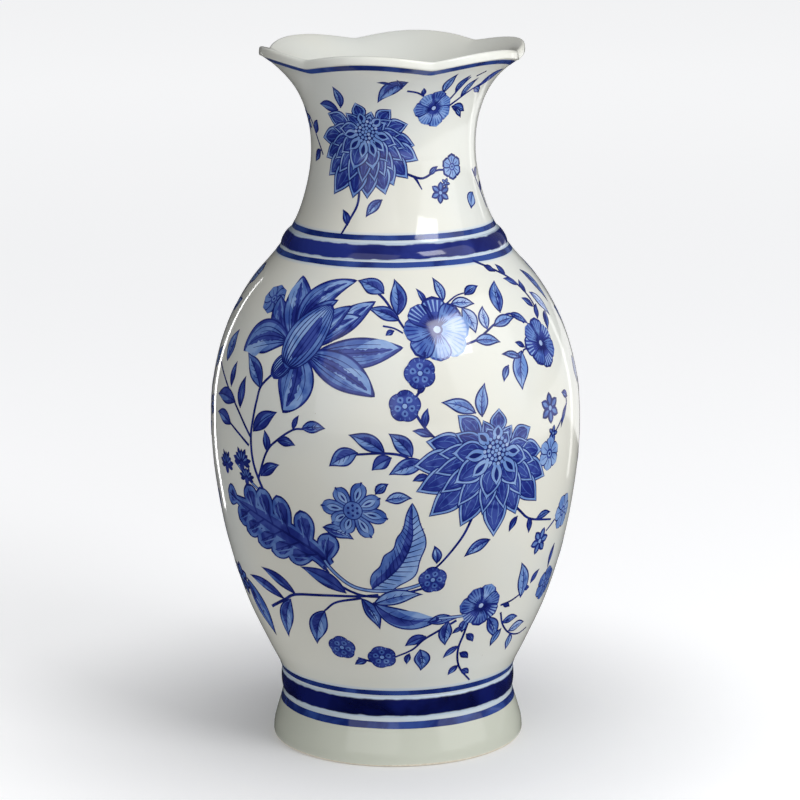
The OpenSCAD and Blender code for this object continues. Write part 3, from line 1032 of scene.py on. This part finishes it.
def paint_bottom():
    lobed_leaf([(-22, 101), (-26, 107), (-34, 113), (-43, 118), (-52, 122), (-60, 125)], 20, 5)
    feather_leaf([(-8, 91), (-1, 99), (3, 107), (5, 116), (5, 125), (5, 133)], 16)
    stem([(-24, 105), (-21, 99), (-16, 93), (-11, 90.5), (-4, 90), (3, 91), (10, 94)], 2.0, 1.8, "light")
    stem([(-24, 101), (-20, 93), (-13, 88), (-6, 87), (0, 88), (9, 91)], 1.3, 1.1)
    stem([(-52, 74), (-43, 80), (-37, 84), (-24, 86), (-12, 87), (-6, 88)], 1.5, 1.2)
    stem([(-12, 86), (-21, 83), (-26, 78)], 1.3)
    leaves([((-37, 84), (-52, 94), "dark", 6), ((-43, 80), (-62, 87), "dark", 6),
            ((-40, 81), (-48, 59), "mid", 9), ((-17, 88), (-33, 99), "dark", 8),
            ((-26, 78), (-33, 59), "mid", 10), ((-12, 86), (-6, 70), "mid", 7),
            ((-8, 83), (9, 88), "light", 8), ((-8, 84), (17, 75), "mid", 11, -5),
            ((11, 73), (22, 74), "mid", 6)])
    stem([(14, 75), (20, 75), (26, 75)], 1.8, 1.6, "light")
    button((12, 95), 6.8, 0.5)
    twig([(40, 77), (45, 78), (49, 80)],
         [((50, 78), (46, 97), "light", 8), ((54, 84), (58, 90), "dark", 4), ((51, 82), (54, 82), "dark", 3),
          ((41, 77), (45, 75), "dark", 3)], 1.1)
    twig([(22, 73), (15, 68), (10, 64), (6, 59), (-1, 55)],
         [((11, 66), (3, 61), "dark", 6), ((9, 59), (10, 47), "mid", 8), ((19, 73), (19, 60), "mid", 7),
          ((5, 57), (4, 51), "dark", 3.4)], 1.3)
    twig([(-1, 54), (-8, 52), (-16, 54)], [((-12, 53), (-18, 50), "dark", 4)])
    button((-6, 55), 6.8)
    button((-22, 59), 6.8, 0.8)
    twig([(27, 73), (26, 65), (25, 58), (26, 51), (29, 45), (36, 38)],
         [((26, 73), (25, 66), "mid", 5), ((25, 69), (21, 66), "dark", 3), ((27, 65), (31, 60), "dark", 4),
          ((25, 59), (19, 53), "dark", 4), ((26, 55), (31, 51), "dark", 4), ((27, 48), (23, 43), "dark", 4),
          ((29, 45), (34, 42), "dark", 4)], 1.2)
    twig([(41, 73), (44, 66), (50, 60), (58, 57), (65, 58)],
         [((35, 72), (42, 59), "mid", 7), ((43, 67), (52, 68), "mid", 5), ((49, 61), (59, 63), "pale", 6),
          ((51, 59), (53, 50), "light", 5), ((44, 64), (41, 55), "light", 5)], 1.0)
    ruffled((31, 79), 11.0, ["light", "mid", "deep", "mid", "deep", "mid", "mid"], 20)
    blossom((67, 80), 9.0, wash="mid")
    leaf((-66, 84), (-58, 57), "mid", 13)
    star((-72, 82), 9.0, 7)


# ---------------- painting: from outlines to pieces

GRID = 2.4


def tone_triangles(shapes):
    """Splits overlapping outlines into triangles, each with the tone of the last outline painted over it.
    Returns angles, heights, triangles and their tones."""
    mean_radius = float(np.mean([np.interp(h, ARC_HEIGHT, ARC_RADIUS).mean() for _, _, h in shapes]))
    corners, loops = [], []
    for _, angle, height in shapes:
        across = np.radians(angle) * mean_radius
        up = np.interp(height, ARC_HEIGHT, ARC_LENGTH)
        if np.sum(across * np.roll(up, -1) - up * np.roll(across, -1)) < 0:
            across, up = across[::-1], up[::-1]  # the triangulation fills loops that run anticlockwise
        loops.append(list(range(len(corners), len(corners) + len(angle))))
        corners.extend(Vector(pair) for pair in zip(across.tolist(), up.tolist()))
    flat = np.array(corners)
    low, high = flat.min(0), flat.max(0)
    columns, rows = (np.arange(*ends, GRID) for ends in zip(low, high))
    grid = [Vector((x, y)) for x in columns for y in rows]
    places, _, triangles, _, _, sources = geometry.delaunay_2d_cdt(corners + grid, [], loops, 0, 1e-4, True)
    places = np.array(places)
    tones = np.array([shapes[max(source)][0] if source else 0 for source in sources])
    return (np.degrees(places[:, 0] / mean_radius), np.interp(places[:, 1], ARC_LENGTH, ARC_HEIGHT),
            np.array(triangles), tones)


def inlay(name, angle, height, triangles, material):
    """A thin closed piece of colour set into the glaze, painted on the front and repeated on the back."""
    used, triangles = np.unique(triangles, return_inverse=True)
    triangles = triangles.reshape(-1, 3)
    count = len(used)
    edges = np.concatenate([triangles[:, [0, 1]], triangles[:, [1, 2]], triangles[:, [2, 0]]])
    keys = edges[:, 0] * count + edges[:, 1]
    border = edges[~np.isin(keys, edges[:, 1] * count + edges[:, 0])]
    points, faces, corners = [], [], []
    for half_turn in (0, 180):
        top, normal = outside(angle[used] + half_turn, height[used])
        start = len(points) * count
        points += [top - normal * PAINT_INSET, top - normal * PAINT_ROOT]
        under = start + count
        a, b = border[:, 0], border[:, 1]
        faces += (triangles + start).tolist() + (triangles[:, ::-1] + under).tolist()
        faces += np.stack([a + under, b + under, b + start, a + start], -1).tolist()
        corners += [normal[triangles].reshape(-1, 3), -normal[triangles[:, ::-1]].reshape(-1, 3),
                    normal[np.stack([a, b, b, a], -1)].reshape(-1, 3)]
    return make_object(name, np.concatenate(points), faces, np.concatenate(corners), material)


def paint_area(name, painters, materials):
    """Turns everything that the painters draw into one inlay for each tone."""
    strokes.clear()
    for painter in painters:
        painter()
    angle, height, triangles, tones = tone_triangles(strokes)
    for tone, material in materials.items():
        chosen = triangles[tones == TONE_ORDER.index(tone)]
        if len(chosen):
            inlay(f"{name}_{tone}", angle, height, chosen, material)


def painted_ring(name, low, high, material, seed):
    """A thin stripe round the wall whose edges waver as a brush does on a turning wheel."""
    random = np.random.default_rng(seed)
    turn = np.radians(ANGLES)

    def waver():
        waves = (1, 2, 3, 5, 8, 13, 21)
        return sum(0.09 * np.cos(turn * n + random.uniform(0, 6.3)) / math.sqrt(n) for n in waves)

    bottom, top = low + waver(), high + waver()
    heights = np.stack([bottom + (top - bottom) * k / 4 for k in range(5)])
    points, normals = outside(np.broadcast_to(ANGLES, heights.shape), heights)
    face = (points - normals * PAINT_INSET, normals)
    root = ((points - normals * PAINT_ROOT)[::-1], -normals[::-1])
    edges = [(np.stack([face[0][-1], root[0][0]]), np.stack([normals[-1]] * 2)),
             (np.stack([root[0][-1], face[0][0]]), np.stack([normals[0]] * 2))]
    obj = ring_solid(name, [face, edges[0], root, edges[1]], material)


# ---------------- the vase

# The stripes by the two bands and under the lip, as lowest and highest edges, and the bleeds beside them
STRIPES = {
    "stripe_foot_low": (17.5, 20.8),
    "stripe_foot_high": (33.6, 36.0),
    "stripe_shoulder_low": (234.1, 236.3),
    "stripe_shoulder_high": (245.3, 247.5),
    "lip_line": (FLARE_HEIGHT[-1] - 2.6, FLARE_HEIGHT[-1] - 0.3),
}
FOOT_BLEED = (28.0, 8.5)
SHOULDER_BLEED = (240.8, 6.6)

ivory = ivory_glaze("ivory glaze")
ivory_foot = ivory_glaze("ivory glaze by the foot stripes", [FOOT_BLEED])
ivory_shoulder = ivory_glaze("ivory glaze by the shoulder stripes", [SHOULDER_BLEED])
bare = bare_porcelain("bare porcelain")
cobalts = {name: cobalt_tone(f"cobalt {name}", *colours) for name, colours in TONES.items()}
stripe_blue = cobalt_tone("cobalt stripe", (22, 40, 108), (50, 76, 148), 60.0)

foot_cobalt = cobalt_band("cobalt foot band", FOOT_BAND, (2, 6, 52), (14, 24, 92))
shoulder_cobalt = cobalt_band("cobalt shoulder band", SHOULDER_BAND, (14, 24, 96), (38, 52, 132))

glazed_pieces = {
    "foot_ring": foot_pieces(ivory_foot, bare),
    "base_disc": disc_piece("base_disc_glazed", ivory),
    "lower_body": wall_piece("lower_body_wall", FOOT_JOINT, BELLY_JOINT, ivory_foot),
    "upper_body": wall_piece("upper_body_wall", BELLY_JOINT, SHOULDER_JOINT, ivory_shoulder),
    "neck": wall_piece("neck_wall", SHOULDER_JOINT, NECK_TOP, ivory_shoulder),
    "mouth": mouth_piece("mouth_lobed", ivory),
}
cobalt_pieces = {
    "foot_band": band_piece("foot_band_raised", FOOT_BAND, foot_cobalt),
    "shoulder_band": band_piece("shoulder_band_raised", SHOULDER_BAND, shoulder_cobalt),
}
for pieces, slot in ((glazed_pieces, "ivory_glaze"), (cobalt_pieces, "cobalt_glaze")):
    for node, piece in pieces.items():
        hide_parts(node)

for seed, (name, (low, high)) in enumerate(STRIPES.items(), 1):
    painted_ring(name, low, high, stripe_blue, seed)
paint_area("neck_painting", [paint_neck], cobalts)
paint_area("body_painting", [paint_upper_body, paint_middle, paint_bottom, paint_side], cobalts)


# ---------------- stage, lights and camera

# Metres and degrees, as in everything below
CAMERA_PLACE = (0.0046, -1.45, 0.475)
CAMERA_DOWN = 12.2
CAMERA_ROLL = 0.44
VASE_MIDDLE = Vector((0, 0, 0.17))
FLOOR_BACK = 6


def facing(azimuth, distance, height):
    """A place round the vase, at a bearing from the camera's side."""
    turn = math.radians(azimuth)
    return Vector((distance * math.sin(turn), -distance * math.cos(turn), height))


def softbox(name, azimuth, distance, height, width, tall, radiance, reflected=True, lights=True):
    """A soft rectangular light turned to the vase, which it lights, or is reflected in, or both."""
    light = bpy.data.lights.new(name, "AREA")
    light.shape = "RECTANGLE"
    light.size, light.size_y = width, tall
    light.energy = radiance * math.pi * width * tall
    obj = bpy.data.objects.new(name, light)
    obj.location = facing(azimuth, distance, height)
    obj.rotation_euler = (VASE_MIDDLE - obj.location).to_track_quat("-Z", "Y").to_euler()
    obj.visible_camera = False
    obj.visible_glossy = reflected
    obj.visible_diffuse = lights
    bpy.context.scene.collection.objects.link(obj)


def card(name, azimuth, distance, width, tall, lift=0.0, lying=False, reflected=True, shades=True):
    """A black card by the vase, for the glaze to reflect, to hold back stray light, or both."""
    bpy.ops.mesh.primitive_plane_add(size=1)
    sheet = bpy.context.object
    sheet.name = name
    sheet.scale = (width, tall, 1)
    sheet.location = facing(azimuth, distance, lift if lying else lift + tall / 2)
    sheet.rotation_euler = (0, 0, 0) if lying else (-math.pi / 2, 0, math.radians(azimuth))
    sheet.data.materials.append(black.material)
    sheet.visible_camera = False
    sheet.visible_shadow = False
    sheet.visible_glossy = reflected
    sheet.visible_diffuse = shades


def pale_floor(name, back):
    """The floor. Its glow is faint by the vase, a painted shadow round it, and evens out the light further
    off.
    """
    shader = Shader(name, 0.7)
    shader.principled.inputs["Emission Strength"].default_value = 0.72
    shader.principled.inputs["Specular IOR Level"].default_value = 0.0
    vase = (0, -back, 0)
    away = shader.add("ShaderNodeVectorMath", {0: shader.place, 1: vase}, operation="DISTANCE")
    away = away.outputs["Value"]
    # Painted shadow: the floor glows less within a quarter metre of the vase
    glow = shader.mix(shader.spread(away, 0.05, 0.25), (0.2, 0.2, 0.2, 1), (0.7, 0.7, 0.7, 1))
    glow = shader.mix(shader.spread(away, 0.2, 3), glow, (1, 1, 1, 1))
    shader.set(shader.principled.inputs["Emission Color"], glow)
    colour = shader.mix(shader.noise(2.0), linear(226, 227, 229), linear(230, 230, 231))
    return shader.finish(colour, 0.6, 0.8, 0.0)


softbox("key_right", 64, 1.9, 1.0, 2.0, 2.0, 1.1)
softbox("key_window", 44, 1.5, 1.35, 0.75, 0.62, 7.5)
softbox("fill_left", -27, 1.9, 0.9, 2.2, 1.6, 0.88)
softbox("fill_front", 5, 1.7, 0.8, 1.4, 0.8, 0.35, reflected=False)
softbox("top", 0, 0.3, 2.2, 1.2, 1.2, 2.0, reflected=False)
softbox("strip_right", 132, 0.45, 0.15, 0.035, 0.34, 1.2, lights=False)
softbox("strip_left", -140.6, 0.388, 0.15, 0.026, 0.34, 6.5, lights=False)
black = Shader("card, black on the side by the vase", 0.9)
black.set(black.principled.inputs["Base Color"], (0.01, 0.01, 0.012, 1))
one_sided = black.add("ShaderNodeMixShader", {0: black.add("ShaderNodeNewGeometry").outputs["Backfacing"],
                                              1: black.principled.outputs[0],
                                              2: black.add("ShaderNodeBsdfTransparent").outputs[0]})
black.set(black.tree.nodes["Material Output"].inputs["Surface"], one_sided.outputs[0])
card("card_left", -95, 0.3, 0.7, 0.7, shades=False)
card("card_shade", -95, 0.36, 0.9, 0.9, lift=0.14, reflected=False)
card("card_back", 186, 0.16, 0.29, 0.36, shades=False)
card("card_floor", -25, 0.5, 2.0, 2.0, lift=0.002, lying=True, shades=False)
card("card_front", -25, 0.34, 1.0, 0.38, lift=0.002, lying=True)

world = bpy.data.worlds.new("studio")
world.use_nodes = True
background = world.node_tree.nodes["Background"]
background.inputs["Color"].default_value = (0.93, 0.95, 1.0, 1)
background.inputs["Strength"].default_value = 0.2
bpy.context.scene.world = world

bpy.ops.mesh.primitive_plane_add(size=30, location=(0, FLOOR_BACK, -0.0002))
floor = bpy.context.object
floor.name = "floor"
floor.data.materials.append(pale_floor("pale floor", FLOOR_BACK))

camera_data = bpy.data.cameras.new("camera")
camera_data.lens = 141.6
camera_data.sensor_width = 36
camera = bpy.data.objects.new("camera", camera_data)
camera.location = CAMERA_PLACE
camera.rotation_euler = (math.radians(90 - CAMERA_DOWN), math.radians(CAMERA_ROLL), 0)
bpy.context.scene.collection.objects.link(camera)
bpy.context.scene.camera = camera
bpy.context.scene.view_settings.view_transform = "Standard"
